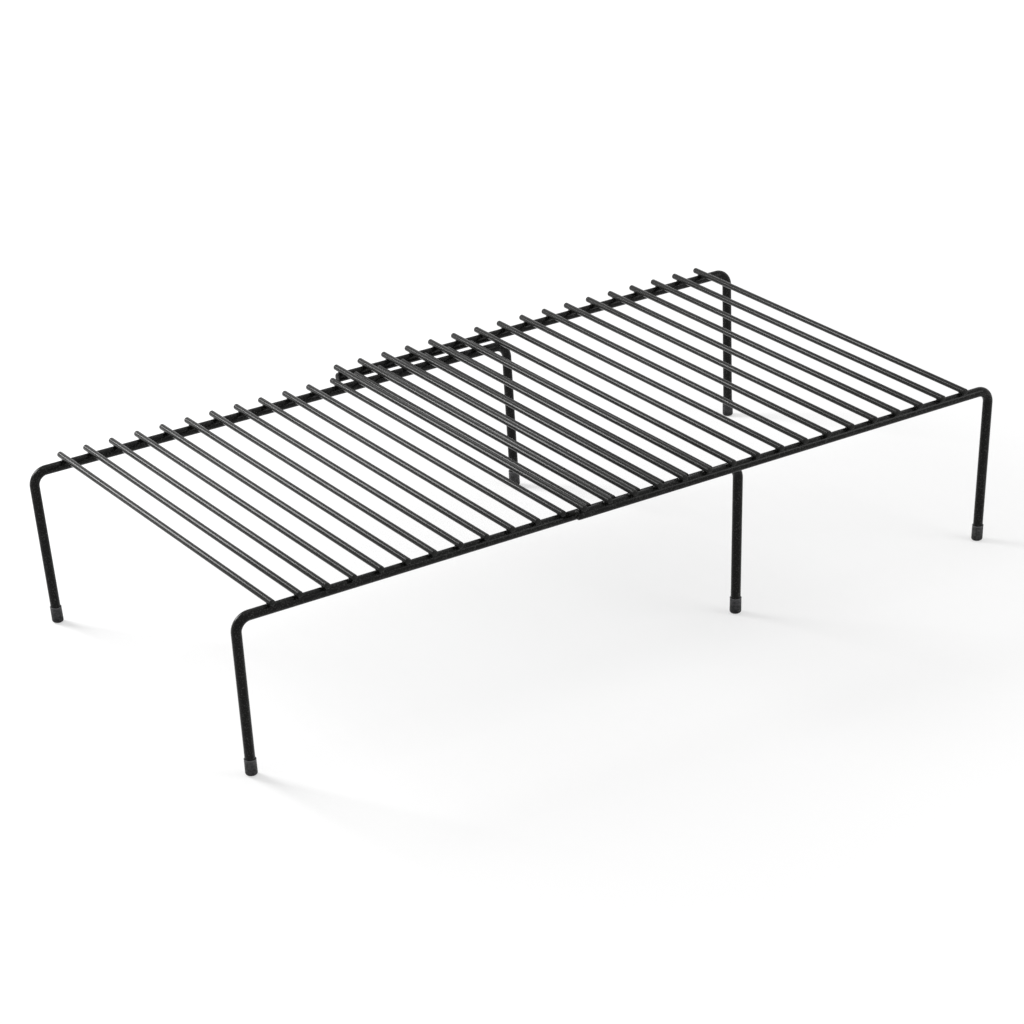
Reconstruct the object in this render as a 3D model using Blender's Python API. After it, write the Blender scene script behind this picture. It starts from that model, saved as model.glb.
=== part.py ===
"""Expandable wire shelf riser: two welded wire sections on legs, the outer one sliding along the inner.

The shelf stands on its foot caps at Z = 0, with its length along X, its depth along Y and its front at -Y.
The inner section is on the left and has four legs. The outer section is on the right, has two legs, and
its wires lie one wire's thickness higher, so that they pass over the inner wires as it slides along X.
"""

import math

import bmesh
import bpy
from mathutils import Matrix, Vector

# Steel rods and wires, in metres as every length here

ROD_DIAMETER = 0.0058
ROD_BEND_RADIUS = 0.008
ROD_END_EASE = 0.0005
WIRE_DIAMETER = 0.0036
WIRE_END_EASE = 0.0006
WIRE_OVERHANG = 0.0022
WIRE_LEG_MARGIN = 0.018
WELD_GAP = 0.0003

# Inner section: rail height and spacing are between centre lines, and lengths are between leg axes

INNER_RAIL_HEIGHT = 0.0939
INNER_RAIL_SPACING = 0.2383
INNER_RAIL_LENGTH = 0.3234
INNER_FIRST_WIRE = 0.0201
INNER_WIRE_PITCH = 0.0165

# Outer section: its length runs from the cut rail ends on the left to the leg axes on the right

OUTER_RAIL_LENGTH = 0.293
OUTER_FIRST_WIRE = 0.0022
OUTER_WIRE_PITCH = 0.01682

# How the sections meet: the outer rails reach back past the middle leg axes by the overlap, as pulled out here

SECTION_OVERLAP = 0.1159
SLIDE_CLEARANCE = 0.0003
GUIDE_CLEARANCE = 0.00085

# Legs: how far each foot stands in from the top of its leg

LEFT_TOE_IN = 0.0047
MIDDLE_TOE_IN = 0.0
RIGHT_TOE_IN = 0.0031
SIDEWAYS_TOE_IN = 0.0038

# Foot caps

CAP_HEIGHT = 0.0098
CAP_WALL = 0.0003
CAP_FLOOR = 0.002
CAP_CLEARANCE = 0.0002
CAP_SOLE_RADIUS = 0.0014
CAP_RIM_RADIUS = 0.0002

# Fineness of the round shapes

ROD_BEVEL_RESOLUTION = 6
WIRE_BEVEL_RESOLUTION = 4
BEND_STEPS = 8
CAP_SIDES = 20
CAP_ROUND_STEPS = 3
SMOOTH_ANGLE = math.radians(40)
MERGE_DISTANCE = 0.000001

# Colours, as linear red, green, blue and alpha

POWDER_COAT_BLACK = (0.013, 0.013, 0.012, 1.0)
POWDER_COAT_ROUGHNESS = 0.45
VINYL_GREY = (0.045, 0.045, 0.046, 1.0)
VINYL_ROUGHNESS = 0.6
NOT_METALLIC = 0.0

# Sizes that follow from the ones above

ROD_RADIUS = ROD_DIAMETER / 2
WIRE_RADIUS = WIRE_DIAMETER / 2
WIRE_ABOVE_RAIL = ROD_RADIUS + WELD_GAP + WIRE_RADIUS
OUTER_RAIL_START = INNER_RAIL_LENGTH - SECTION_OVERLAP
OUTER_RAIL_HEIGHT = INNER_RAIL_HEIGHT + WIRE_DIAMETER + SLIDE_CLEARANCE
RAIL_SIDE_STEP = ROD_RADIUS + WIRE_OVERHANG + GUIDE_CLEARANCE + ROD_RADIUS
OUTER_RAIL_SPACING = INNER_RAIL_SPACING + 2 * RAIL_SIDE_STEP


def clear_scene():
    for obj in list(bpy.data.objects):
        bpy.data.objects.remove(obj, do_unlink=True)


def make_material(name, colour, roughness):
    material = bpy.data.materials.new(name)
    material.use_nodes = True
    shader = material.node_tree.nodes["Principled BSDF"]
    shader.inputs["Base Color"].default_value = colour
    shader.inputs["Roughness"].default_value = roughness
    shader.inputs["Metallic"].default_value = NOT_METALLIC
    return material


def add_object(name, data, location, parent):
    obj = bpy.data.objects.new(name, data)
    obj.location = location
    obj.parent = parent
    bpy.context.scene.collection.objects.link(obj)
    return obj


def bar_curve(name, path, diameter, end_ease, bevel_resolution, material):
    """Round bar along a path of vectors, its two end faces eased by end_ease."""
    radius = diameter / 2
    start_inner = path[0] + (path[1] - path[0]).normalized() * end_ease
    end_inner = path[-1] + (path[-2] - path[-1]).normalized() * end_ease
    places = [path[0], start_inner, *path[1:-1], end_inner, path[-1]]
    end_share = (radius - end_ease) / radius
    radius_shares = [end_share] + [1] * (len(places) - 2) + [end_share]
    curve = bpy.data.curves.new(name, "CURVE")
    curve.dimensions = "3D"
    curve.bevel_depth = radius
    curve.bevel_resolution = bevel_resolution
    curve.use_fill_caps = True
    spline = curve.splines.new("POLY")
    spline.points.add(len(places) - 1)
    for point, place, share in zip(spline.points, places, radius_shares):
        point.co = (*place, 1)
        point.radius = share
    curve.materials.append(material)
    return curve


def leg_direction(rail_height, toe_in, sideways):
    """Unit vector down a leg whose foot stands toe_in along X and sideways along Y from its top."""
    return Vector((toe_in, sideways, -rail_height)).normalized()


def leg_end(corner, direction):
    """Cut end of a leg, clear of the floor of its cap at the lowest point of the slanting cut."""
    slant_drop = ROD_RADIUS * direction.xy.length
    height = CAP_FLOOR + CAP_CLEARANCE + slant_drop
    return corner + direction * (corner.z - height) / -direction.z


def bend_setback(along_rail, down_leg):
    """Distance from the corner where rail and leg axes cross to where the bend begins."""
    return ROD_BEND_RADIUS / math.tan(along_rail.angle(down_leg) / 2)


def bend_points(corner, along_rail, down_leg):
    """Arc of the bend, from the leg up to the rail."""
    setback = bend_setback(along_rail, down_leg)
    towards_centre = (along_rail + down_leg).normalized()
    centre = corner + towards_centre * ROD_BEND_RADIUS / math.sin(along_rail.angle(down_leg) / 2)
    leg_side = corner + down_leg * setback - centre
    rail_side = corner + along_rail * setback - centre
    turns = [leg_side.slerp(rail_side, step / BEND_STEPS) for step in range(BEND_STEPS + 1)]
    return [centre + turn * ROD_BEND_RADIUS for turn in turns]


def leg_and_bend(corner, along_rail, down_leg):
    """Path from a leg's cut end up the leg and round the bend to the rail."""
    return [leg_end(corner, down_leg), *bend_points(corner, along_rail, down_leg)]


def inner_rod_path(inwards):
    """Left leg, rail and middle leg of one inner rod. Inwards is the sign of Y towards the middle."""
    right = Vector((1, 0, 0))
    left_corner = Vector((0, 0, INNER_RAIL_HEIGHT))
    middle_corner = Vector((INNER_RAIL_LENGTH, 0, INNER_RAIL_HEIGHT))
    down_left = leg_direction(INNER_RAIL_HEIGHT, LEFT_TOE_IN, inwards * SIDEWAYS_TOE_IN)
    down_middle = leg_direction(INNER_RAIL_HEIGHT, -MIDDLE_TOE_IN, inwards * SIDEWAYS_TOE_IN)
    left_part = leg_and_bend(left_corner, right, down_left)
    middle_part = leg_and_bend(middle_corner, -right, down_middle)
    return left_part + middle_part[::-1]


def outer_rod_path(inwards):
    """Rail from its cut end on the left, and right leg, of one outer rod."""
    right = Vector((1, 0, 0))
    free_end = Vector((0, 0, OUTER_RAIL_HEIGHT))
    right_corner = Vector((OUTER_RAIL_LENGTH, 0, OUTER_RAIL_HEIGHT))
    down_right = leg_direction(OUTER_RAIL_HEIGHT, -RIGHT_TOE_IN, inwards * SIDEWAYS_TOE_IN)
    return [free_end, *leg_and_bend(right_corner, -right, down_right)[::-1]]


def wire_places(first, pitch, rail_length):
    """X of each cross wire along its rails, as many as fit before the bend at the right."""
    count = 1 + math.floor((rail_length - WIRE_LEG_MARGIN - first) / pitch)
    return [first + number * pitch for number in range(count)]


def add_wires(section, rail_spacing, rail_height, places, material, parent):
    """Straight cross wires on top of the two rails, numbered from the left."""
    half_length = rail_spacing / 2 + ROD_RADIUS + WIRE_OVERHANG
    path = [Vector((0, -half_length, 0)), Vector((0, half_length, 0))]
    curve = bar_curve(f"{section}_wire", path, WIRE_DIAMETER, WIRE_END_EASE, WIRE_BEVEL_RESOLUTION, material)
    height = rail_height + WIRE_ABOVE_RAIL
    for number, along in enumerate(places, start=1):
        add_object(f"{section}_wire_{number:02d}", curve, (along, 0, height - parent.location.z), parent)


def cap_profile():
    """Half section of a foot cap, from the middle of its sole round to the bottom of its bore."""
    bore = ROD_RADIUS + CAP_CLEARANCE
    outside = bore + CAP_WALL
    quarter_steps = [math.pi / 2 * step / CAP_ROUND_STEPS for step in range(CAP_ROUND_STEPS + 1)]
    sole_edge = [
        (
            outside - CAP_SOLE_RADIUS * (1 - math.sin(angle)),
            CAP_SOLE_RADIUS * (1 - math.cos(angle)),
        )
        for angle in quarter_steps
    ]
    rim = [
        (
            outside - CAP_RIM_RADIUS * (1 - math.cos(angle)),
            CAP_HEIGHT - CAP_RIM_RADIUS * (1 - math.sin(angle)),
        )
        for angle in quarter_steps
    ]
    return [(0, 0), *sole_edge, *rim, (bore, CAP_HEIGHT), (bore, CAP_FLOOR), (0, CAP_FLOOR)]


def cap_mesh(name, down_leg, material):
    """Turned cap with a flat sole and a blind bore, sheared so that its bore follows the leaning leg."""
    shape = bmesh.new()
    ring = [shape.verts.new((radius, 0, height)) for radius, height in cap_profile()]
    edges = [shape.edges.new(pair) for pair in zip(ring, ring[1:])]
    bmesh.ops.spin(
        shape,
        geom=ring + edges,
        cent=(0, 0, 0),
        axis=(0, 0, 1),
        angle=2 * math.pi,
        steps=CAP_SIDES,
    )
    bmesh.ops.remove_doubles(shape, verts=shape.verts, dist=MERGE_DISTANCE)
    lean = Matrix.Identity(4)
    lean[0][2] = down_leg.x / down_leg.z
    lean[1][2] = down_leg.y / down_leg.z
    bmesh.ops.transform(shape, matrix=lean, verts=shape.verts)
    bmesh.ops.recalc_face_normals(shape, faces=shape.faces)
    mesh = bpy.data.meshes.new(name)
    shape.to_mesh(mesh)
    shape.free()
    mesh.shade_smooth()
    mesh.set_sharp_from_angle(angle=SMOOTH_ANGLE)
    mesh.materials.append(material)
    return mesh


def add_cap(name, corner, toe_in, inwards, material, parent):
    """Cap under the leg whose top is at the corner, given in the section's own place."""
    sideways = inwards * SIDEWAYS_TOE_IN
    down_leg = leg_direction(corner.z, toe_in, sideways)
    foot = (corner.x + toe_in, corner.y + sideways, -parent.location.z)
    add_object(name, cap_mesh(name, down_leg, material), foot, parent)


def add_rod(name, path, rail_y, material, parent):
    curve = bar_curve(name, path, ROD_DIAMETER, ROD_END_EASE, ROD_BEVEL_RESOLUTION, material)
    add_object(name, curve, (0, rail_y, -parent.location.z), parent)


def left_leg_top():
    """X of the left leg axes in the world, which puts the whole shelf's middle at X = 0."""
    right = Vector((1, 0, 0))
    down_left = leg_direction(INNER_RAIL_HEIGHT, LEFT_TOE_IN, SIDEWAYS_TOE_IN)
    down_right = leg_direction(OUTER_RAIL_HEIGHT, -RIGHT_TOE_IN, SIDEWAYS_TOE_IN)
    left_inset = bend_setback(right, down_left) - ROD_BEND_RADIUS
    right_inset = bend_setback(-right, down_right) - ROD_BEND_RADIUS
    return -(left_inset + OUTER_RAIL_START + OUTER_RAIL_LENGTH - right_inset) / 2


def add_inner_section(cap_material):
    """Left section: two rods bent into four legs, with the lower layer of wires."""
    rod_coat = make_material("inner_rod_powder_coat", POWDER_COAT_BLACK, POWDER_COAT_ROUGHNESS)
    wire_coat = make_material("inner_wire_powder_coat", POWDER_COAT_BLACK, POWDER_COAT_ROUGHNESS)
    section = add_object("inner_section", None, (left_leg_top(), 0, 0), None)
    for side, inwards in (("front", 1), ("back", -1)):
        rail_y = -inwards * INNER_RAIL_SPACING / 2
        add_rod(f"inner_rod_{side}", inner_rod_path(inwards), rail_y, rod_coat, section)
        left_top = Vector((0, rail_y, INNER_RAIL_HEIGHT))
        middle_top = Vector((INNER_RAIL_LENGTH, rail_y, INNER_RAIL_HEIGHT))
        add_cap(f"foot_cap_left_{side}", left_top, LEFT_TOE_IN, inwards, cap_material, section)
        add_cap(f"foot_cap_middle_{side}", middle_top, -MIDDLE_TOE_IN, inwards, cap_material, section)
    places = wire_places(INNER_FIRST_WIRE, INNER_WIRE_PITCH, INNER_RAIL_LENGTH)
    add_wires("inner", INNER_RAIL_SPACING, INNER_RAIL_HEIGHT, places, wire_coat, section)


def add_outer_section(cap_material):
    """Right section, carried by an empty on the line along which it slides."""
    rod_coat = make_material("outer_rod_powder_coat", POWDER_COAT_BLACK, POWDER_COAT_ROUGHNESS)
    wire_coat = make_material("outer_wire_powder_coat", POWDER_COAT_BLACK, POWDER_COAT_ROUGHNESS)
    left_end = left_leg_top() + OUTER_RAIL_START
    section = add_object("outer_section_slide", None, (left_end, 0, OUTER_RAIL_HEIGHT), None)
    for side, inwards in (("front", 1), ("back", -1)):
        rail_y = -inwards * OUTER_RAIL_SPACING / 2
        add_rod(f"outer_rod_{side}", outer_rod_path(inwards), rail_y, rod_coat, section)
        right_top = Vector((OUTER_RAIL_LENGTH, rail_y, OUTER_RAIL_HEIGHT))
        add_cap(f"foot_cap_right_{side}", right_top, -RIGHT_TOE_IN, inwards, cap_material, section)
    places = wire_places(OUTER_FIRST_WIRE, OUTER_WIRE_PITCH, OUTER_RAIL_LENGTH)
    add_wires("outer", OUTER_RAIL_SPACING, OUTER_RAIL_HEIGHT, places, wire_coat, section)


def main():
    clear_scene()
    cap_material = make_material("foot_cap_vinyl", VINYL_GREY, VINYL_ROUGHNESS)
    add_inner_section(cap_material)
    add_outer_section(cap_material)


main()
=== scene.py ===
"""Expandable wire shelf riser, dressed for a studio picture.

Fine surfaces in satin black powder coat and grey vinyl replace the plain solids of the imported
frame. Their sizes and places are read from the frame, and what a user may change is in the
property groups below. Run as a script: it registers the operators and calls them in order.
"""

import math

import bpy
import numpy as np
from bpy.props import FloatProperty, FloatVectorProperty, IntProperty, PointerProperty
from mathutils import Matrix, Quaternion, Vector


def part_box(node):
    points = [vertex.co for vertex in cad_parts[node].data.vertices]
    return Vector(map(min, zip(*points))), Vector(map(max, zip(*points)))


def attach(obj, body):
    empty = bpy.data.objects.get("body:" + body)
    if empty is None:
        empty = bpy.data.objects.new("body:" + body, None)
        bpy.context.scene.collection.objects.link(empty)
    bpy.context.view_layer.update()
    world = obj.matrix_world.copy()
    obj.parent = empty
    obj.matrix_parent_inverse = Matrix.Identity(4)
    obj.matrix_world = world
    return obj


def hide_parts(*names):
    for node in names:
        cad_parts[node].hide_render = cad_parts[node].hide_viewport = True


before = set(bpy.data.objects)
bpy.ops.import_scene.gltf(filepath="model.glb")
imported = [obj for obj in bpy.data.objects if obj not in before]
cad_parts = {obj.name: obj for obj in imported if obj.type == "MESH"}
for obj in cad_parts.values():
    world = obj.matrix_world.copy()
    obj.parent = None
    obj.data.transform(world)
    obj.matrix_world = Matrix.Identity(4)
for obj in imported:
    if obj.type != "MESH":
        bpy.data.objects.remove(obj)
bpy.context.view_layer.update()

bl_info = {
    "name": "Wire Shelf Riser",
    "version": (1, 0, 0),
    "blender": (4, 5, 0),
    "location": "3D View > Sidebar > Shelf Riser",
    "description": "Coated rods and wires, weld fillets, foot caps and a studio for a wire shelf riser",
    "category": "Object",
}

SIDES = ("front", "back")
SECTIONS = ("inner", "outer")
SECTION_OF_LEGS = {"left": "inner", "middle": "inner", "right": "outer"}
RIGHT_LEGS = {"inner": "middle", "outer": "right"}
X_AXIS = np.array([1.0, 0.0, 0.0])
Y_AXIS = np.array([0.0, 1.0, 0.0])

# How much of a cut rail end is measured, and how finely the heights of a cap's rings are told apart
END_SLICE = 0.002
HEIGHT_DIGITS = 5
SAME_HEIGHT = 0.00001

# Rings of each rounded edge at the ends of rods and wires
END_RINGS = 6

# Powder coat: its colour and gloss drift in patches, and its flecks fade in over a range of noise
COAT_SPECULAR = 0.11
COLOUR_PATCH_SIZE = 0.03
COLOUR_PATCH_SHADES = (0.75, 1.35)
COAT_GLOSS_PATCH_SIZE = 0.006
COAT_GLOSS_DRIFT = (-0.03, 0.04)
FLECK_DETAIL = 3.0
FLECK_FADE = 0.2

# Vinyl: a fine mottle, with painted shade darkening it at the sole, painted light paling it towards the
# top, and a painted highlight on the lip
VINYL_SPECULAR = 0.12
MOTTLE_SIZE = 0.0014
MOTTLE_RANGE = (0.35, 0.65)
SHADED_SOLE_SHADES = (0.15, 0.6)
LIT_TOP_SHADES = (0.7, 1.8)
LIP_HIGHLIGHT_SHADE = 2.0
LIP_HIGHLIGHT_HEIGHT_SHARES = (0.93, 0.97)
VINYL_GLOSS_PATCH_SIZE = 0.001
VINYL_GLOSS_DRIFT = (-0.06, 0.08)
VINYL_GRAIN_SIZE = 0.0005
VINYL_GRAIN_DEPTH = 0.00002
VINYL_DETAIL = 4.0

# Floor: half its width, its depth under the caps, and the radius of its middle, which glows evenly
FLOOR_HALF = 1.5
FLOOR_DEPTH = 0.0001
FLOOR_MIDDLE = 0.3

# Place of each soft light, which faces the floor under the riser, and its width and height.
# Its power is a setting of the studio.
LIGHTS = {
    "window": ((-0.65, 1.04, 0.73), (0.5, 0.65)),
    "front": ((0.68, -0.88, 0.5), (0.6, 0.4)),
    "top": ((0.0, 0.0, 1.8), (0.8, 0.8)),
}

# Nearest and furthest that the camera sees
CAMERA_NEAR = 0.05
CAMERA_FAR = 50.0


# Places read from the frame


def node_points(node):
    """All vertices of a frame node as one array."""
    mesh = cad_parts[node].data
    points = np.empty(len(mesh.vertices) * 3, np.float32)
    mesh.vertices.foreach_get("co", points)
    return points.reshape(-1, 3).astype(float)


def middle(points):
    """Middle of the box round some points."""
    return (points.min(axis=0) + points.max(axis=0)) / 2


def rod_diameter():
    """Width of the outer front rail at its cut end, where nothing hangs below it."""
    points = node_points("outer_rod_front")
    cut_end = points[points[:, 0] < points[:, 0].min() + END_SLICE]
    return float(np.ptp(cut_end[:, 1]))


def wire_diameter():
    """Width of the first inner wire."""
    low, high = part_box("inner_wire_01")
    return high.x - low.x


def cap_slice(node, height):
    """The cap's vertices at one height."""
    points = node_points(node)
    return points[np.abs(points[:, 2] - height) < SAME_HEIGHT]


def cap_foot(node):
    """Middle of a cap's sole."""
    return middle(cap_slice(node, 0.0))


def cap_lean(node):
    """How far the axis of a cap and its leg shifts, in X and Y, for each metre upwards."""
    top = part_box(node)[1].z
    shift = middle(cap_slice(node, top)) - cap_foot(node)
    return np.array([shift[0] / top, shift[1] / top, 1.0])


def cap_radius(node):
    """Half the width of the widest ring of a cap. Its lean only shifts the rings."""
    points = node_points(node)
    heights = np.unique(points[:, 2].round(HEIGHT_DIGITS))
    return max(float(np.ptp(cap_slice(node, height)[:, 0])) for height in heights) / 2


def rail_height(section):
    """Height of a section's rail axes."""
    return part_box(f"{section}_rod_front")[1].z - rod_diameter() / 2


def leg_top(section, place, side):
    """Corner where the axis of a leg meets the axis of its rail."""
    cap = f"foot_cap_{place}_{side}"
    return cap_foot(cap) + cap_lean(cap) * rail_height(section)


def wires_of(section):
    """Names of a section's wires, from left to right."""
    return sorted(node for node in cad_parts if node.startswith(f"{section}_wire_"))


# Settings that a user may change


class RiserRodSettings(bpy.types.PropertyGroup):
    diameter: FloatProperty(
        name="Rod diameter",
        description="Thickness of the side rods over their coating",
        default=rod_diameter(),
        min=0.001,
        unit="LENGTH",
    )
    bend_radius: FloatProperty(
        name="Bend radius",
        description="Radius of the rod's axis where a rail turns down into a leg",
        default=0.008,
        min=0.003,
        unit="LENGTH",
    )
    end_rounding: FloatProperty(
        name="End rounding",
        description="Radius of the coated edge round a cut rail end",
        default=0.0009,
        min=0.0001,
        unit="LENGTH",
    )
    sides: IntProperty(
        name="Rod sides",
        description="Faces round each rod",
        default=48,
        min=12,
    )
    bend_steps: IntProperty(
        name="Bend steps",
        description="Rings along each bend",
        default=28,
        min=6,
    )


class RiserWireSettings(bpy.types.PropertyGroup):
    diameter: FloatProperty(
        name="Wire diameter",
        description="Thickness of the cross wires over their coating",
        default=wire_diameter(),
        min=0.001,
        unit="LENGTH",
    )
    end_rounding: FloatProperty(
        name="Tip rounding",
        description="Radius of the coated edge round a wire's tip",
        default=0.0009,
        min=0.0001,
        unit="LENGTH",
    )
    sides: IntProperty(
        name="Wire sides",
        description="Faces round each wire",
        default=32,
        min=8,
    )


class RiserFilletSettings(bpy.types.PropertyGroup):
    waist: FloatProperty(
        name="Waist",
        description="Half width of a weld fillet where it is narrowest",
        default=0.00095,
        min=0.0002,
        unit="LENGTH",
    )
    flare: FloatProperty(
        name="Flare",
        description="How much its half width grows along the rod below and along the wire above",
        default=0.0011,
        min=0.0,
        unit="LENGTH",
    )
    sink: FloatProperty(
        name="Sink",
        description="Depth of the fillet's foot inside the rod",
        default=0.0002,
        min=0.0,
        unit="LENGTH",
    )
    climb: FloatProperty(
        name="Climb",
        description="Height of the fillet's top above the underside of the wire",
        default=0.0004,
        min=0.0,
        unit="LENGTH",
    )
    sides: IntProperty(
        name="Fillet sides",
        description="Faces round each fillet",
        default=24,
        min=8,
    )
    steps: IntProperty(
        name="Fillet steps",
        description="Rings from the rod up to the wire",
        default=9,
        min=4,
    )


class RiserCapSettings(bpy.types.PropertyGroup):
    sole_rounding: FloatProperty(
        name="Sole rounding",
        description="Radius of the edge round the sole",
        default=0.0015,
        min=0.0002,
        unit="LENGTH",
    )
    taper: FloatProperty(
        name="Taper",
        description="How far the lip is set in, which narrows the cap a little towards the top",
        default=0.00012,
        min=0.0,
        unit="LENGTH",
    )
    lip_radius: FloatProperty(
        name="Lip radius",
        description="Radius of the rolled lip round the mouth",
        default=0.00028,
        min=0.00005,
        unit="LENGTH",
    )
    sides: IntProperty(
        name="Cap sides",
        description="Faces round each cap",
        default=64,
        min=16,
    )
    arc_steps: IntProperty(
        name="Arc steps",
        description="Rings along each rounded edge",
        default=8,
        min=3,
    )


class RiserFinishSettings(bpy.types.PropertyGroup):
    rod_colour: FloatVectorProperty(
        name="Rod coat",
        description="Colour of the powder coat on the side rods",
        default=(0.0042, 0.0042, 0.0038),
        min=0.0,
        max=1.0,
        subtype="COLOR",
    )
    # The same powder coat as the rods, made paler on the wires to paint in the sheen of reflected light
    # along their edges
    wire_colour_with_painted_sheen: FloatVectorProperty(
        name="Wire coat",
        description="Colour of the powder coat on the wires, paler than the rods' to paint in a sheen",
        default=(0.015, 0.015, 0.0143),
        min=0.0,
        max=1.0,
        subtype="COLOR",
    )
    coat_roughness: FloatProperty(
        name="Coat roughness",
        description="Roughness of the satin powder coat",
        default=0.22,
        min=0.0,
        max=1.0,
        subtype="FACTOR",
    )
    fleck_colour: FloatVectorProperty(
        name="Flecks",
        description="Colour of the fine paler grains in the powder coat",
        default=(0.055, 0.055, 0.053),
        min=0.0,
        max=1.0,
        subtype="COLOR",
    )
    fleck_size: FloatProperty(
        name="Fleck size",
        description="Width of the paler grains",
        default=0.0008,
        min=0.0001,
        unit="LENGTH",
    )
    rod_fleck_level: FloatProperty(
        name="Rod fleck level",
        description="Noise level from which the rods show flecks, so a lower one gives more of them",
        default=0.53,
        min=0.0,
        max=1.0,
    )
    wire_fleck_level: FloatProperty(
        name="Wire fleck level",
        description="Noise level from which the wires show flecks",
        default=0.57,
        min=0.0,
        max=1.0,
    )
    peel_size: FloatProperty(
        name="Orange peel size",
        description="Width of the shallow waves that the melted powder leaves",
        default=0.0015,
        min=0.0001,
        unit="LENGTH",
    )
    rod_peel_depth: FloatProperty(
        name="Rod peel depth",
        description="Height of the waves in the thicker coat of the rods",
        default=0.00007,
        min=0.0,
        unit="LENGTH",
    )
    wire_peel_depth: FloatProperty(
        name="Wire peel depth",
        description="Height of the waves in the thin coat of the wires",
        default=0.000005,
        min=0.0,
        unit="LENGTH",
    )
    vinyl_colour: FloatVectorProperty(
        name="Vinyl",
        description="Colour of the dipped vinyl foot caps",
        default=(0.06, 0.06, 0.062),
        min=0.0,
        max=1.0,
        subtype="COLOR",
    )
    vinyl_roughness: FloatProperty(
        name="Vinyl roughness",
        description="Roughness of the foot caps",
        default=0.5,
        min=0.0,
        max=1.0,
        subtype="FACTOR",
    )


class RiserStudioSettings(bpy.types.PropertyGroup):
    azimuth: FloatProperty(
        name="Azimuth",
        description="Camera's turn round the riser, from straight in front",
        default=math.radians(-32.448),
        subtype="ANGLE",
    )
    elevation: FloatProperty(
        name="Elevation",
        description="Camera's angle above the horizon",
        default=math.radians(24.164),
        subtype="ANGLE",
    )
    roll: FloatProperty(
        name="Roll",
        description="Camera's turn about its own view line",
        default=math.radians(-2.292),
        subtype="ANGLE",
    )
    distance: FloatProperty(
        name="Distance",
        description="From the camera to the point that it looks at",
        default=1.8913,
        min=0.5,
        unit="LENGTH",
    )
    look_at: FloatVectorProperty(
        name="Look at",
        description="Point at the middle of the picture",
        default=(-0.011, -0.0124, 0.05),
        subtype="TRANSLATION",
    )
    lens: FloatProperty(
        name="Focal length",
        description="For a sensor 36 mm wide",
        default=114.44,
        min=10.0,
        unit="CAMERA",
    )
    window_power: FloatProperty(
        name="Window light",
        description="Power of the soft light behind on the left, which draws stripes on the wires",
        default=18.5,
        min=0.0,
        unit="POWER",
    )
    front_power: FloatProperty(
        name="Front light",
        description="Power of the soft light on the front right, which shows on the outer front rail",
        default=3.4,
        min=0.0,
        unit="POWER",
    )
    top_power: FloatProperty(
        name="Top light",
        description="Power of the soft light overhead",
        default=3.0,
        min=0.0,
        unit="POWER",
    )
    sky_level: FloatProperty(
        name="Sky level",
        description="Strength of the even light from all round",
        default=0.5,
        min=0.0,
    )
    floor_colour: FloatProperty(
        name="Floor colour",
        description="Share of light that the floor scatters",
        default=0.5,
        min=0.0,
        max=1.0,
        subtype="FACTOR",
    )
    floor_glow: FloatProperty(
        name="Floor white",
        description="Level added to the floor's middle where the camera or a reflection sees it",
        default=0.5,
        min=0.0,
        max=1.0,
        subtype="FACTOR",
    )
    edge_glow: FloatProperty(
        name="Floor edge white",
        description="Level added in the same way at the floor's edge, where less light falls",
        default=0.78,
        min=0.0,
        max=1.0,
        subtype="FACTOR",
    )


# Surfaces


def unit(vectors):
    """The vectors at length 1."""
    return vectors / np.linalg.norm(vectors, axis=-1, keepdims=True)


def full_turn(sides):
    """Angles of the corners of a ring."""
    return np.linspace(0.0, 2 * math.pi, sides, endpoint=False)


def edge_rounding(radius, rounding, steps):
    """Inset and radius of the rings of a rounded end, from its flat face to its full width.

    Formula: a quarter circle of the rounding's radius, turned from the end face to the side, so the
    inset is rounding x (1 - cos t) and the radius is radius - rounding x (1 - sin t).
    """
    turn = np.linspace(0.0, math.pi / 2, steps)
    inset = rounding * (1 - np.cos(turn))
    return inset, radius - rounding * (1 - np.sin(turn))


def swept_rings(points, tangents, radii, sides, reference):
    """Rings of a round bar along a path.

    Formula: point + radius x (cos a x first + sin a x second), where first is the reference axis
    made square to the tangent and second is tangent x first.
    """
    square = reference - (tangents @ reference)[:, None] * tangents
    first = unit(square)
    second = np.cross(tangents, first)
    angle = full_turn(sides)[:, None]
    spokes = first[:, None] * np.cos(angle) + second[:, None] * np.sin(angle)
    return points[:, None] + radii[:, None, None] * spokes


def turned_rings(radii, heights, sides, foot, lean):
    """Rings of a shape turned about a leaning axis.

    Formula: foot + height x lean + radius x (cos a, sin a, 0), so each ring stays level.
    """
    angle = full_turn(sides)
    spokes = np.stack([np.cos(angle), np.sin(angle), np.zeros(sides)], axis=-1)
    return foot + (heights[:, None] * lean)[:, None] + radii[:, None, None] * spokes


def closed_skin(rings):
    """Vertices and faces of a stack of rings, each end closed by a fan to its ring's middle."""
    count, sides = rings.shape[:2]
    poles = rings[[0, -1]].mean(axis=1)
    vertices = np.concatenate([rings.reshape(-1, 3), poles])
    here = np.arange(sides)
    after = (here + 1) % sides
    ring = np.arange(count - 1)[:, None] * sides
    quads = np.stack([ring + here, ring + after, ring + after + sides, ring + here + sides], axis=-1)
    last_ring = (count - 1) * sides
    start_pole = np.full(sides, count * sides)
    start_fan = np.stack([start_pole, after, here], axis=-1)
    end_fan = np.stack([start_pole + 1, last_ring + here, last_ring + after], axis=-1)
    return vertices, quads.reshape(-1, 4).tolist() + start_fan.tolist() + end_fan.tolist()


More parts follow.
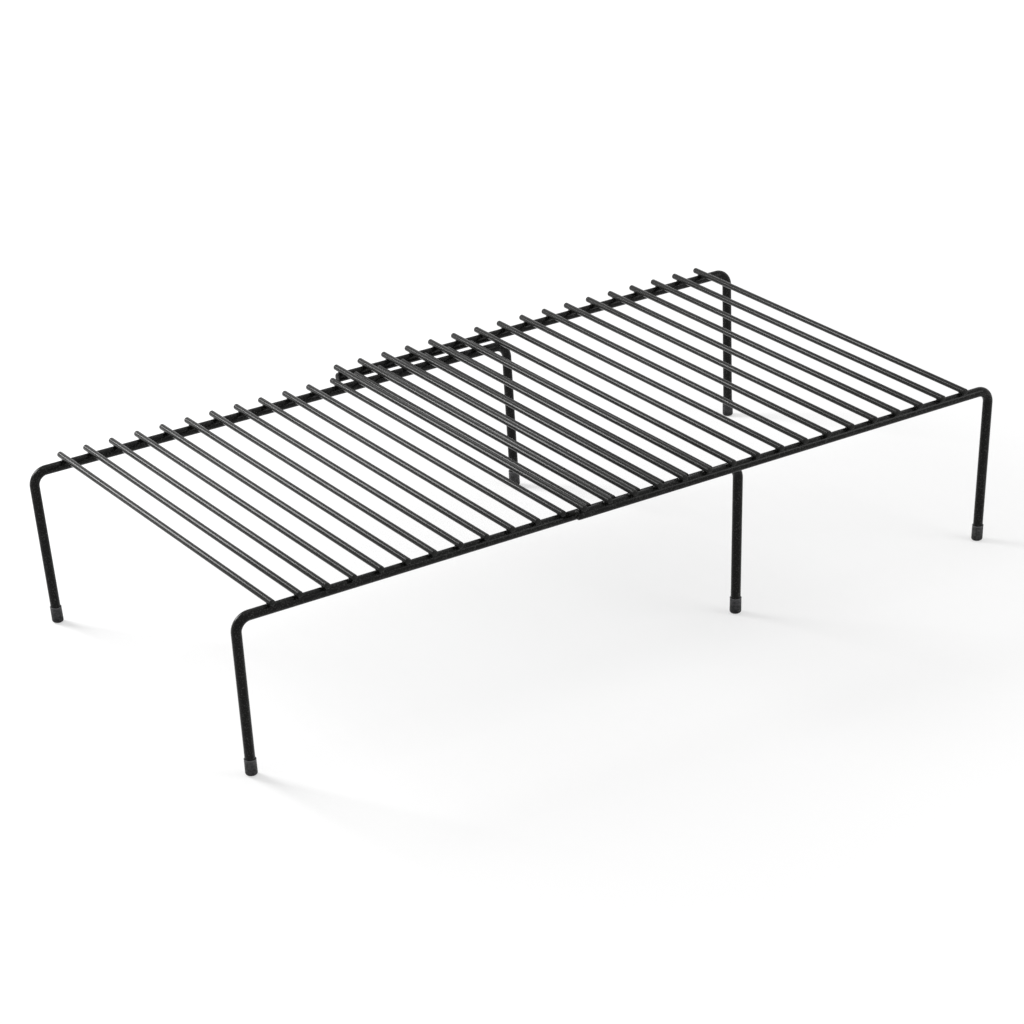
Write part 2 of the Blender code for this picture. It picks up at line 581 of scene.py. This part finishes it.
def add_piece(name, skins, material, section, replaced=()):
    """One smooth mesh object from one or more closed skins, riding on its section of the riser."""
    vertices = []
    faces = []
    start = 0
    for skin_vertices, skin_faces in skins:
        vertices.append(skin_vertices)
        faces.extend([[start + corner for corner in face] for face in skin_faces])
        start += len(skin_vertices)
    mesh = bpy.data.meshes.new(name)
    mesh.from_pydata(np.concatenate(vertices).tolist(), [], faces)
    mesh.shade_smooth()
    mesh.materials.append(material)
    piece = bpy.data.objects.new(name, mesh)
    bpy.context.scene.collection.objects.link(piece)
    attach(piece, f"{section}_section")
    if replaced:
        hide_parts(*replaced)


# Paths of the bent rods


def bend_arc(corner, towards_leg, towards_rail, radius, steps):
    """Points and tangents of a bend, from the leg round to the rail.

    Formula: a circle of the bend's radius that touches both axes, centre + radius x (cos t x out +
    sin t x on), where out points from the centre to where it touches the leg and on up the leg.
    """
    half_angle = math.acos(float(towards_leg @ towards_rail)) / 2
    centre = corner + unit(towards_leg + towards_rail) * radius / math.sin(half_angle)
    touch = corner + towards_leg * radius / math.tan(half_angle)
    out = unit(touch - centre)
    on = -towards_leg
    turn = np.linspace(0.0, math.pi - 2 * half_angle, steps)[:, None]
    points = centre + radius * (np.cos(turn) * out + np.sin(turn) * on)
    tangents = np.cos(turn) * on - np.sin(turn) * out
    return points, tangents


def leg_and_bend(top, lean, cut_height, rail_direction, rods):
    """Points and tangents up a leg from its cut end and round the bend to the rail."""
    up = unit(lean)
    cut_end = top + lean * (cut_height - top[2])
    points, tangents = bend_arc(top, -up, rail_direction, rods.bend_radius, rods.bend_steps)
    return np.vstack([cut_end, points]), np.vstack([up, tangents])


def reversed_path(points, tangents):
    """The same path from its other end."""
    return points[::-1], -tangents[::-1]


def rod_path(section, side, rods):
    """Points and tangents of one side rod from its left end to its right end."""
    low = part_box(f"{section}_rod_{side}")[0]
    right_top = leg_top(section, RIGHT_LEGS[section], side)
    right_lean = cap_lean(f"foot_cap_{RIGHT_LEGS[section]}_{side}")
    right_part = reversed_path(*leg_and_bend(right_top, right_lean, low.z, -X_AXIS, rods))
    if section == "inner":
        left_top = leg_top(section, "left", side)
        left_lean = cap_lean(f"foot_cap_left_{side}")
        left_part = leg_and_bend(left_top, left_lean, low.z, X_AXIS, rods)
    else:
        cut_end = np.array([low.x, right_top[1], right_top[2]])
        left_part = (cut_end[None], X_AXIS[None])
    return tuple(np.vstack(pair) for pair in zip(left_part, right_part))


def with_round_ends(points, tangents, radius, rounding):
    """Path and radii with the extra rings of a rounded edge at both ends."""
    inset, widths = edge_rounding(radius, rounding, END_RINGS)
    start = points[0] + inset[:, None] * tangents[0]
    end = points[-1] - inset[::-1, None] * tangents[-1]
    path = np.vstack([start, points[1:-1], end])
    start_directions = np.repeat(tangents[:1], END_RINGS, axis=0)
    end_directions = np.repeat(tangents[-1:], END_RINGS, axis=0)
    directions = np.vstack([start_directions, tangents[1:-1], end_directions])
    radii = np.concatenate([widths, np.full(len(points) - 2, radius), widths[::-1]])
    return path, directions, radii


# Materials


def add_node(tree, kind, **values):
    """A shader node with its settings, and with the inputs that are given by name."""
    node = tree.nodes.new(kind)
    for name, value in values.items():
        if name in node.inputs:
            node.inputs[name].default_value = value
        else:
            setattr(node, name, value)
    return node


def noise(tree, coordinates, feature_size, detail=2.0):
    """Noise whose features are about feature_size across, in metres."""
    node = add_node(tree, "ShaderNodeTexNoise", Scale=1 / feature_size, Detail=detail)
    tree.links.new(coordinates, node.inputs["Vector"])
    return node.outputs["Fac"]


def spread(tree, source, low, high, start=0.3, end=0.7):
    """A value mapped from the range start to end, which noise fills, to the range low to high."""
    node = add_node(tree, "ShaderNodeMapRange")
    node.inputs["From Min"].default_value = start
    node.inputs["From Max"].default_value = end
    node.inputs["To Min"].default_value = low
    node.inputs["To Max"].default_value = high
    tree.links.new(source, node.inputs["Value"])
    return node.outputs["Result"]


def shade_of(colour, factor=1.0):
    """A colour made darker or paler, with the opacity that sockets ask for."""
    return tuple(min(1.0, channel * factor) for channel in colour) + (1.0,)


def blend_colour(tree, factor, first, second):
    """Blend from the first colour to the second. Each is a colour or another node's output."""
    node = add_node(tree, "ShaderNodeMix", data_type="RGBA")
    tree.links.new(factor, node.inputs["Factor"])
    colour_inputs = [socket for socket in node.inputs if socket.type == "RGBA"]
    for socket, colour in zip(colour_inputs, (first, second)):
        if isinstance(colour, bpy.types.NodeSocket):
            tree.links.new(colour, socket)
        else:
            socket.default_value = colour
    return next(socket for socket in node.outputs if socket.type == "RGBA")


def two_shades(tree, factor, colour, shades):
    """Blend from one shade of a colour to another."""
    return blend_colour(tree, factor, *(shade_of(colour, shade) for shade in shades))


def add_gloss(tree, shader, patches, roughness, drift):
    """Roughness that drifts round its level with the noise of the patches."""
    gloss = spread(tree, patches, roughness + drift[0], roughness + drift[1])
    tree.links.new(gloss, shader.inputs["Roughness"])


def add_bump(tree, shader, height, depth):
    """Bump of a height that runs from 0 to 1 over the given depth in metres."""
    node = add_node(tree, "ShaderNodeBump", Strength=1.0, Distance=depth)
    tree.links.new(height, node.inputs["Height"])
    tree.links.new(node.outputs["Normal"], shader.inputs["Normal"])


def new_material(name):
    """A material, its tree, its shader and the place of each point on the object."""
    material = bpy.data.materials.new(name)
    material.use_nodes = True
    tree = material.node_tree
    coordinates = add_node(tree, "ShaderNodeTexCoord").outputs["Object"]
    return material, tree, tree.nodes["Principled BSDF"], coordinates


def powder_coat(name, finish, colour, fleck_level, peel_depth):
    """Satin powder coat: orange peel, fine paler flecks, and colour and gloss that drift a little."""
    material, tree, shader, place = new_material(name)
    shader.inputs["Specular IOR Level"].default_value = COAT_SPECULAR
    ground = two_shades(tree, noise(tree, place, COLOUR_PATCH_SIZE), colour, COLOUR_PATCH_SHADES)
    grains = noise(tree, place, finish.fleck_size, FLECK_DETAIL)
    flecks = spread(tree, grains, 0.0, 1.0, fleck_level, fleck_level + FLECK_FADE)
    speckled = blend_colour(tree, flecks, ground, shade_of(finish.fleck_colour))
    tree.links.new(speckled, shader.inputs["Base Color"])
    patches = noise(tree, place, COAT_GLOSS_PATCH_SIZE)
    add_gloss(tree, shader, patches, finish.coat_roughness, COAT_GLOSS_DRIFT)
    add_bump(tree, shader, noise(tree, place, finish.peel_size), peel_depth)
    return material


def dipped_vinyl(name, finish, height):
    """Dipped vinyl: mottled, with painted shade towards the sole, painted light towards the top and a
    painted highlight along the lip.
    """
    material, tree, shader, place = new_material(name)
    shader.inputs["Specular IOR Level"].default_value = VINYL_SPECULAR
    split = add_node(tree, "ShaderNodeSeparateXYZ")
    tree.links.new(place, split.inputs[0])
    level = split.outputs["Z"]
    mottle = spread(tree, noise(tree, place, MOTTLE_SIZE, VINYL_DETAIL), 0.0, 1.0, *MOTTLE_RANGE)
    # Painted shade darkens the mottle at the sole, and painted light pales it towards the top
    low = two_shades(tree, mottle, finish.vinyl_colour, SHADED_SOLE_SHADES)
    high = two_shades(tree, mottle, finish.vinyl_colour, LIT_TOP_SHADES)
    body = blend_colour(tree, spread(tree, level, 0.0, 1.0, 0.0, height), low, high)
    # The pale band just under the top of the cap is a painted highlight on the lip
    lip_heights = [height * share for share in LIP_HIGHLIGHT_HEIGHT_SHARES]
    lip = spread(tree, level, 0.0, 1.0, *lip_heights)
    colour = blend_colour(tree, lip, body, shade_of(finish.vinyl_colour, LIP_HIGHLIGHT_SHADE))
    tree.links.new(colour, shader.inputs["Base Color"])
    patches = noise(tree, place, VINYL_GLOSS_PATCH_SIZE)
    add_gloss(tree, shader, patches, finish.vinyl_roughness, VINYL_GLOSS_DRIFT)
    add_bump(tree, shader, noise(tree, place, VINYL_GRAIN_SIZE, VINYL_DETAIL), VINYL_GRAIN_DEPTH)
    return material


# Operators


class RISER_OT_side_rods(bpy.types.Operator):
    """Make the four bent side rods, each one piece with its legs"""

    bl_idname = "riser.side_rods"
    bl_label = "Side Rods"

    def execute(self, context):
        rods = context.scene.riser_rods
        finish = context.scene.riser_finish
        look = (finish.rod_colour, finish.rod_fleck_level, finish.rod_peel_depth)
        for section in SECTIONS:
            coat = powder_coat(f"{section}_rod_coat", finish, *look)
            for side in SIDES:
                points, tangents = rod_path(section, side, rods)
                path = with_round_ends(points, tangents, rods.diameter / 2, rods.end_rounding)
                rings = swept_rings(*path, rods.sides, Y_AXIS)
                node = f"{section}_rod_{side}"
                skins = [closed_skin(rings)]
                add_piece(f"{node}_coated", skins, coat, section, [node])
        return {"FINISHED"}


class RISER_OT_cross_wires(bpy.types.Operator):
    """Make the straight cross wires of both sections"""

    bl_idname = "riser.cross_wires"
    bl_label = "Cross Wires"

    def execute(self, context):
        wires = context.scene.riser_wires
        finish = context.scene.riser_finish
        # The wires' coat colour carries a painted sheen
        look = (finish.wire_colour_with_painted_sheen, finish.wire_fleck_level, finish.wire_peel_depth)
        for section in SECTIONS:
            coat = powder_coat(f"{section}_wire_coat", finish, *look)
            for node in wires_of(section):
                low, high = (np.array(corner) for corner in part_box(node))
                axis = (low + high) / 2
                ends = np.array([[axis[0], low[1], axis[2]], [axis[0], high[1], axis[2]]])
                tangents = np.vstack([Y_AXIS, Y_AXIS])
                path = with_round_ends(ends, tangents, wires.diameter / 2, wires.end_rounding)
                rings = swept_rings(*path, wires.sides, X_AXIS)
                skins = [closed_skin(rings)]
                add_piece(f"{node}_coated", skins, coat, section, [node])
        return {"FINISHED"}


class RISER_OT_weld_fillets(bpy.types.Operator):
    """Make the small fillets where each wire is welded to its rails, in the wires' own coat"""

    bl_idname = "riser.weld_fillets"
    bl_label = "Weld Fillets"

    def execute(self, context):
        for section in SECTIONS:
            # The fillets share the wires' coat and its painted sheen
            coat = bpy.data.materials[f"{section}_wire_coat"]
            skins = [
                closed_skin(self.fillet_rings(context, section, node, side))
                for node in wires_of(section)
                for side in SIDES
            ]
            add_piece(f"{section}_weld_fillets", skins, coat, section)
        return {"FINISHED"}

    def fillet_rings(self, context, section, node, side):
        """Rings of one fillet, from inside the rod up to the sides of the wire.

        Formula: with s from 0 at the rod to 1 at the wire, an ellipse whose half width along the
        rod is waist + flare x (1 - s) squared and along the wire waist + flare x s squared.
        """
        fillet = context.scene.riser_fillets
        low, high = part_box(node)
        rail_top = rail_height(section) + context.scene.riser_rods.diameter / 2
        rail_y = leg_top(section, RIGHT_LEGS[section], side)[1]
        centre = np.array([(low.x + high.x) / 2, rail_y, 0.0])
        share = np.linspace(0.0, 1.0, fillet.steps)
        heights = rail_top - fillet.sink + share * (low.z + fillet.climb - rail_top + fillet.sink)
        along_rod = fillet.waist + fillet.flare * (1 - share) ** 2
        along_wire = fillet.waist + fillet.flare * share**2
        angle = full_turn(fillet.sides)
        x = along_rod[:, None] * np.cos(angle)
        y = along_wire[:, None] * np.sin(angle)
        z = np.repeat(heights[:, None], fillet.sides, axis=1)
        return centre + np.stack([x, y, z], axis=-1)


class RISER_OT_foot_caps(bpy.types.Operator):
    """Make the six dipped vinyl caps on the ends of the legs"""

    bl_idname = "riser.foot_caps"
    bl_label = "Foot Caps"

    def execute(self, context):
        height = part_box("foot_cap_left_front")[1].z
        # The caps' vinyl carries painted shade, painted light and a painted lip highlight in its colour
        vinyl = dipped_vinyl("foot_cap_vinyl", context.scene.riser_finish, height)
        for place, section in SECTION_OF_LEGS.items():
            for side in SIDES:
                node = f"foot_cap_{place}_{side}"
                skins = [closed_skin(self.cap_rings(context, node))]
                add_piece(f"{node}_dipped", skins, vinyl, section, [node])
        return {"FINISHED"}

    def cap_rings(self, context, node):
        """Rings of one cap, from the sole up the wall, over the rolled lip and down into the leg.

        Formula: a profile of a quarter circle round the sole, a straight wall that narrows a little
        and five eighths of a circle for the lip, turned about the leg's leaning axis.
        """
        cap = context.scene.riser_caps
        leg_radius = context.scene.riser_rods.diameter / 2
        radius = cap_radius(node)
        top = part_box(node)[1].z
        sole_heights, sole_radii = edge_rounding(radius, cap.sole_rounding, cap.arc_steps)
        lip_middle = radius - cap.taper - cap.lip_radius / 2
        lip_turn = np.linspace(-math.pi / 4, math.pi, 2 * cap.arc_steps)
        lip_radii = lip_middle + cap.lip_radius * np.cos(lip_turn)
        lip_heights = top - cap.lip_radius + cap.lip_radius * np.sin(lip_turn)
        # The last ring closes the skin out of sight inside the leg
        radii = np.concatenate([sole_radii, lip_radii, [leg_radius - cap.lip_radius]])
        heights = np.concatenate([sole_heights, lip_heights, [top - 3 * cap.lip_radius]])
        return turned_rings(radii, heights, cap.sides, cap_foot(node), cap_lean(node))


class RISER_OT_studio(bpy.types.Operator):
    """Make the pale floor, the soft lights, the even sky and the camera"""

    bl_idname = "riser.studio"
    bl_label = "Studio"

    def execute(self, context):
        studio = context.scene.riser_studio
        self.add_floor(studio)
        self.add_sky(context.scene, studio)
        for name, (place, size) in LIGHTS.items():
            self.add_soft_light(f"{name}_light", getattr(studio, f"{name}_power"), place, size)
        self.add_camera(context.scene, studio)
        return {"FINISHED"}

    def seen_directly(self, tree):
        """1 for rays from the camera and for reflected or passed rays, otherwise 0."""
        path = add_node(tree, "ShaderNodeLightPath")
        seen = path.outputs["Is Camera Ray"]
        for kind in ("Is Glossy Ray", "Is Transmission Ray"):
            either = add_node(tree, "ShaderNodeMath", operation="MAXIMUM")
            tree.links.new(seen, either.inputs[0])
            tree.links.new(path.outputs[kind], either.inputs[1])
            seen = either.outputs[0]
        return seen

    def add_floor(self, studio):
        """Large pale floor just under the caps."""
        low, high = -FLOOR_HALF, FLOOR_HALF
        corners = [(low, low), (high, low), (high, high), (low, high)]
        mesh = bpy.data.meshes.new("floor")
        mesh.from_pydata([(x, y, -FLOOR_DEPTH) for x, y in corners], [], [(0, 1, 2, 3)])
        mesh.materials.append(self.floor_white(studio))
        floor = bpy.data.objects.new("floor", mesh)
        bpy.context.scene.collection.objects.link(floor)

    def floor_white(self, studio):
        """Material that takes shadows and shows as white.

        Formula: the light that a pale grey scatters, plus a glow where the floor is seen directly,
        which is the floor's own level in its middle and rises evenly to another at its edge.
        """
        material = bpy.data.materials.new("floor_white")
        material.use_nodes = True
        tree = material.node_tree
        tree.nodes.clear()
        pale = shade_of((1.0, 1.0, 1.0), studio.floor_colour)
        scatter = add_node(tree, "ShaderNodeBsdfDiffuse", Color=pale)
        distance = add_node(tree, "ShaderNodeVectorMath", operation="LENGTH")
        place = add_node(tree, "ShaderNodeTexCoord").outputs["Object"]
        tree.links.new(place, distance.inputs[0])
        levels = (studio.floor_glow, studio.edge_glow)
        level = spread(tree, distance.outputs["Value"], *levels, FLOOR_MIDDLE, FLOOR_HALF)
        strength = add_node(tree, "ShaderNodeMath", operation="MULTIPLY")
        tree.links.new(level, strength.inputs[0])
        tree.links.new(self.seen_directly(tree), strength.inputs[1])
        glow = add_node(tree, "ShaderNodeEmission")
        tree.links.new(strength.outputs[0], glow.inputs["Strength"])
        both = add_node(tree, "ShaderNodeAddShader")
        tree.links.new(scatter.outputs[0], both.inputs[0])
        tree.links.new(glow.outputs[0], both.inputs[1])
        output = add_node(tree, "ShaderNodeOutputMaterial")
        tree.links.new(both.outputs[0], output.inputs["Surface"])
        return material

    def add_sky(self, scene, studio):
        """Even sky that shows as white and lights at its own lower level."""
        world = bpy.data.worlds.new("studio_sky")
        world.use_nodes = True
        tree = world.node_tree
        background = tree.nodes["Background"]
        background.inputs["Color"].default_value = (1.0, 1.0, 1.0, 1.0)
        level = spread(tree, self.seen_directly(tree), studio.sky_level, 1.0, 0.0, 1.0)
        tree.links.new(level, background.inputs["Strength"])
        scene.world = world

    def add_soft_light(self, name, power, place, size):
        """Rectangular soft light at a place, facing the floor under the riser."""
        light = bpy.data.lights.new(name, "AREA")
        light.shape = "RECTANGLE"
        light.size, light.size_y = size
        light.energy = power
        lamp = bpy.data.objects.new(name, light)
        lamp.location = place
        lamp.rotation_mode = "QUATERNION"
        lamp.rotation_quaternion = (-Vector(place)).to_track_quat("-Z", "Y")
        lamp.visible_camera = False
        bpy.context.scene.collection.objects.link(lamp)

    def add_camera(self, scene, studio):
        """Camera that looks at a point from its azimuth, elevation and distance.

        Formula: look_at + distance x (sin azimuth x level, -cos azimuth x level, sin elevation),
        where level is cos elevation.
        """
        camera = bpy.data.objects.new("camera", bpy.data.cameras.new("camera"))
        level = math.cos(studio.elevation)
        x = math.sin(studio.azimuth) * level
        y = -math.cos(studio.azimuth) * level
        back = Vector((x, y, math.sin(studio.elevation)))
        camera.location = Vector(studio.look_at) + back * studio.distance
        camera.rotation_mode = "QUATERNION"
        unrolled = (-back).to_track_quat("-Z", "Y")
        camera.rotation_quaternion = unrolled @ Quaternion((0, 0, 1), studio.roll)
        camera.data.lens = studio.lens
        camera.data.clip_start = CAMERA_NEAR
        camera.data.clip_end = CAMERA_FAR
        scene.collection.objects.link(camera)
        scene.camera = camera
        scene.view_settings.view_transform = "Standard"


class RISER_PT_sidebar(bpy.types.Panel):
    """Lists the riser's operators and settings"""

    bl_label = "Wire Shelf Riser"
    bl_idname = "RISER_PT_sidebar"
    bl_space_type = "VIEW_3D"
    bl_region_type = "UI"
    bl_category = "Shelf Riser"

    def draw(self, context):
        for operator in OPERATORS:
            self.layout.operator(operator.bl_idname)
        for setting in SETTINGS:
            box = self.layout.box()
            group = getattr(context.scene, setting)
            for name in group.bl_rna.properties.keys():
                if name not in ("rna_type", "name"):
                    box.prop(group, name)


SETTINGS = {
    "riser_rods": RiserRodSettings,
    "riser_wires": RiserWireSettings,
    "riser_fillets": RiserFilletSettings,
    "riser_caps": RiserCapSettings,
    "riser_finish": RiserFinishSettings,
    "riser_studio": RiserStudioSettings,
}
OPERATORS = (
    RISER_OT_side_rods,
    RISER_OT_cross_wires,
    RISER_OT_weld_fillets,
    RISER_OT_foot_caps,
    RISER_OT_studio,
)


def register():
    for cls in (*SETTINGS.values(), *OPERATORS, RISER_PT_sidebar):
        bpy.utils.register_class(cls)
    for setting, group in SETTINGS.items():
        setattr(bpy.types.Scene, setting, PointerProperty(type=group))


def unregister():
    for setting in SETTINGS:
        delattr(bpy.types.Scene, setting)
    for cls in (RISER_PT_sidebar, *reversed(OPERATORS), *reversed(SETTINGS.values())):
        bpy.utils.unregister_class(cls)


def main():
    """Dress the riser, piece by piece, and set up the studio."""
    register()
    bpy.ops.riser.side_rods()
    bpy.ops.riser.cross_wires()
    bpy.ops.riser.weld_fillets()
    bpy.ops.riser.foot_caps()
    bpy.ops.riser.studio()


if __name__ == "__main__":
    main()
